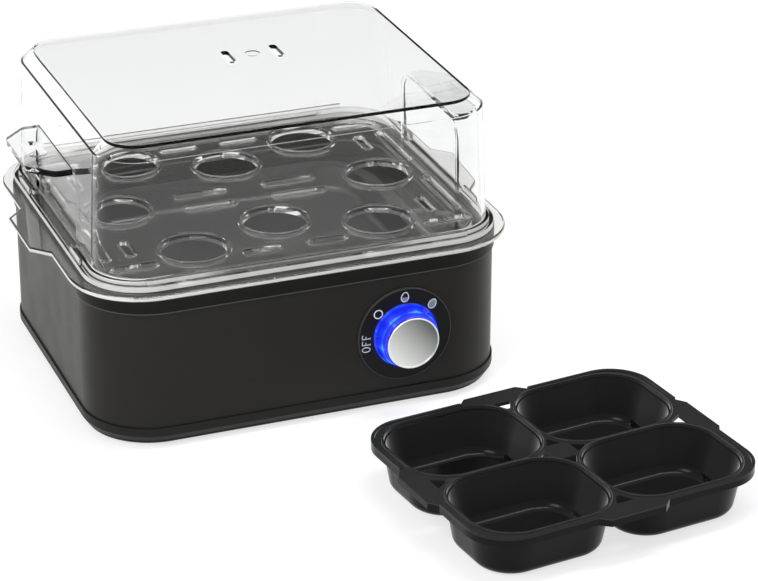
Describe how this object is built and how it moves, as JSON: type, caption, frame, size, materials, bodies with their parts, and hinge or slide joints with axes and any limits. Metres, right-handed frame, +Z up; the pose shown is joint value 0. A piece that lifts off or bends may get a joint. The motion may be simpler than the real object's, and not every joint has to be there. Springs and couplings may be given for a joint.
{
  "type": "egg cooker",
  "caption": "Box-shaped electric egg cooker with clear lid, seated egg tray, lit front dial and a separate poaching tray with cups.",
  "frame": {"origin": "on the table, under the middle of the housing; the poaching tray stands in front of it to the right", "axes": "+Z up, the dial faces -Y, +X to the right of a person who looks at the dial"},
  "size_m": [0.266, 0.3469, 0.1434],
  "materials": {
    "black_plastic": "fine satin",
    "band_paint": "satin",
    "pan_coating": "dark non-stick coating",
    "silicone": "matte",
    "element_steel": "satin",
    "sheet_steel": "plated",
    "switch_plastic": "matte",
    "porcelain": "unglazed porcelain",
    "brass_screws": "plain",
    "fuse_body": "plain",
    "diffuser": "translucent",
    "knob_body": "translucent, lit from behind",
    "knob_metal": "satin",
    "board": "white board",
    "lamps": "lit",
    "wire_cover": "glass-fibre sleeve",
    "rubber_black": "matte",
    "clear_lid": "clear",
    "smoky_tray": "clear, lightly smoked",
    "poacher_black": "smooth, half gloss"
  },
  "bodies": {
    "housing": {"base_cover": "black_plastic", "side_band": "band_paint", "top_frame": "black_plastic", "pan_seal": "silicone", "heating_pan": "pan_coating", "heating_element": "element_steel", "pan_straps": "sheet_steel", "pan_nuts": "sheet_steel", "limit_thermostat": "porcelain", "thermostat_strap": "sheet_steel", "small_nuts": "sheet_steel", "thermal_fuse": "fuse_body", "fuse_clip": "sheet_steel", "dial_plate": "black_plastic", "light_ring": "diffuser", "led_board": "board", "led_lamps": "lamps", "control_bracket": "sheet_steel", "bracket_screws": "sheet_steel", "control_body": "switch_plastic", "control_nut": "brass_screws", "terminal_block": "porcelain", "terminal_screws": "brass_screws", "lead_wires": "wire_cover", "cord_gland": "rubber_black", "cover_screws": "sheet_steel", "rubber_feet": "rubber_black"},
    "knob": {"control_shaft": "brass_screws", "knob_skirt": "knob_body", "knob_cap": "knob_metal"},
    "egg_tray": {"egg_tray": "smoky_tray"},
    "lid": {"lid": "clear_lid"},
    "poaching_tray": {"poaching_tray": "poacher_black"}
  },
  "joints": [
    {"name": "knob_turn", "type": "hinge", "parent": "housing", "child": "knob", "pos_m": [0.0452, -0.09, 0.0376], "axis": [0, 1, 0], "range_deg": [0, 136]},
    {"name": "egg_tray_lift", "type": "slide", "parent": "housing", "child": "egg_tray", "axis": [0, 0, 1], "range_m": [0, 0.08]},
    {"name": "lid_lift", "type": "slide", "parent": "egg_tray", "child": "lid", "axis": [0, 0, 1], "range_m": [0, 0.09]},
    {"name": "poaching_tray_lift", "type": "slide", "parent": "housing", "child": "poaching_tray", "axis": [0, 0, 1], "range_m": [0, 0.09]}
  ]
}
